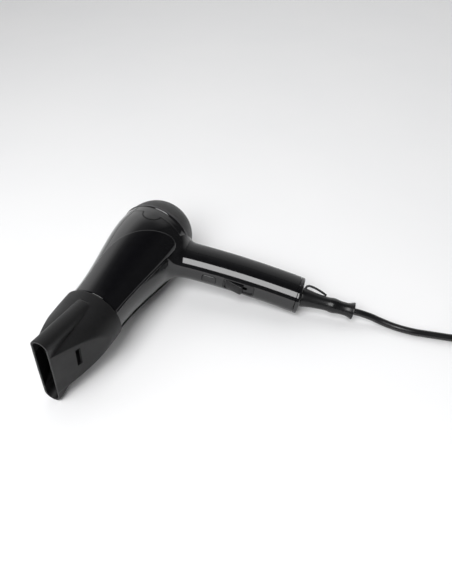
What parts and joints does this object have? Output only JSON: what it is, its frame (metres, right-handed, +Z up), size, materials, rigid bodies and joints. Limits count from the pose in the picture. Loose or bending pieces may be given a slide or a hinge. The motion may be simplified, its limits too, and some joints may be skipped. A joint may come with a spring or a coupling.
{
  "type": "travel hair dryer",
  "caption": "Compact pistol hair dryer lying on its side: round barrel with a domed rear grille, slot nozzle, slide switch, cool-shot button, strain relief, and a coiled lead with plug.",
  "frame": {"origin": "centre of the base of the dryer and its strain relief, on the surface it lies on, measured without the free cord", "axes": "+Z up; +X along the handle towards the cord; -Y the way the air leaves, along the barrel"},
  "size_m": [0.4369, 0.2767, 0.0762],
  "materials": {
    "gloss_black": "polished moulded plastic",
    "satin_black": "satin moulded plastic",
    "matte_black": "fine spark-eroded texture",
    "black_rubber": "flexible PVC, slightly glossy",
    "mica": "pressed mica sheet",
    "nichrome": "drawn resistance wire",
    "steel": "plated steel",
    "magnet": "sintered ferrite",
    "circuit_board": "coated laminate",
    "white_nylon": "natural nylon",
    "yellow_film": "film capacitor case",
    "brown_lead": "PVC insulation",
    "blue_lead": "PVC insulation",
    "nickel": "nickel plated brass"
  },
  "bodies": {
    "casing": {"body_shell": "gloss_black", "handle_back_cover": "satin_black", "handle_end_cap": "satin_black", "side_panel_left": "gloss_black", "side_panel_right": "gloss_black", "outlet_grille": "matte_black", "mica_liner": "mica", "heater_board_upright": "mica", "heater_board_flat": "mica", "heater_coil_rear": "nichrome", "heater_coil_front": "nichrome", "thermostat": "steel", "thermal_fuse": "steel", "motor_can": "steel", "motor_end_cap": "white_nylon", "motor_magnet_1": "magnet", "motor_magnet_2": "magnet", "rectifier_board": "circuit_board", "motor_screw_1": "steel", "motor_screw_2": "steel", "fan_guide": "matte_black", "switch_tray": "satin_black", "slide_switch_body": "matte_black", "cool_button_spring": "steel", "cool_switch_body": "matte_black", "interference_capacitor": "yellow_film", "cord_inner": "black_rubber", "cord_clamp": "white_nylon", "cord_clamp_screw_1": "steel", "cord_clamp_screw_2": "steel", "lead_live": "brown_lead", "lead_neutral": "blue_lead", "lead_switched": "brown_lead", "strain_relief": "black_rubber", "hanging_loop": "black_rubber", "cord": "black_rubber", "cord_tail": "black_rubber", "cord_coil": "black_rubber", "cord_tie": "satin_black", "plug_body": "black_rubber", "plug_pin_1": "nickel", "plug_pin_2": "nickel"},
    "nozzle_body": {"nozzle": "matte_black"},
    "rear_cover": {"rear_cover_ring": "gloss_black", "rear_grille": "matte_black", "filter_screen": "matte_black"},
    "fan_rotor": {"fan": "matte_black", "motor_rotor": "steel", "motor_shaft": "steel"},
    "speed_slider": {"slide_knob": "satin_black"},
    "cool_button": {"cool_button": "satin_black"}
  },
  "joints": [
    {"name": "nozzle_turn", "type": "hinge", "parent": "casing", "child": "nozzle_body", "pos_m": [-0.0809, 0.0555, 0.03513], "axis": [0.0027, -0.9998, 0.0195], "continuous": true},
    {"name": "rear_cover_pull", "type": "slide", "parent": "casing", "child": "rear_cover", "axis": [-0.0027, 0.9998, -0.0195], "range_m": [0, 0.025]},
    {"name": "fan_spin", "type": "hinge", "parent": "casing", "child": "fan_rotor", "pos_m": [-0.0809, 0.0555, 0.03513], "axis": [0.0027, -0.9998, 0.0195], "continuous": true},
    {"name": "speed_slide", "type": "slide", "parent": "casing", "child": "speed_slider", "axis": [0.9845, 0.1092, -0.137], "range_m": [0, 0.008]},
    {"name": "cool_button_press", "type": "slide", "parent": "casing", "child": "cool_button", "axis": [-0.1109, 0.9938, -0.0046], "range_m": [0, 0.0015], "stiffness_N_per_m": 400, "springref_m": -0.0008}
  ]
}
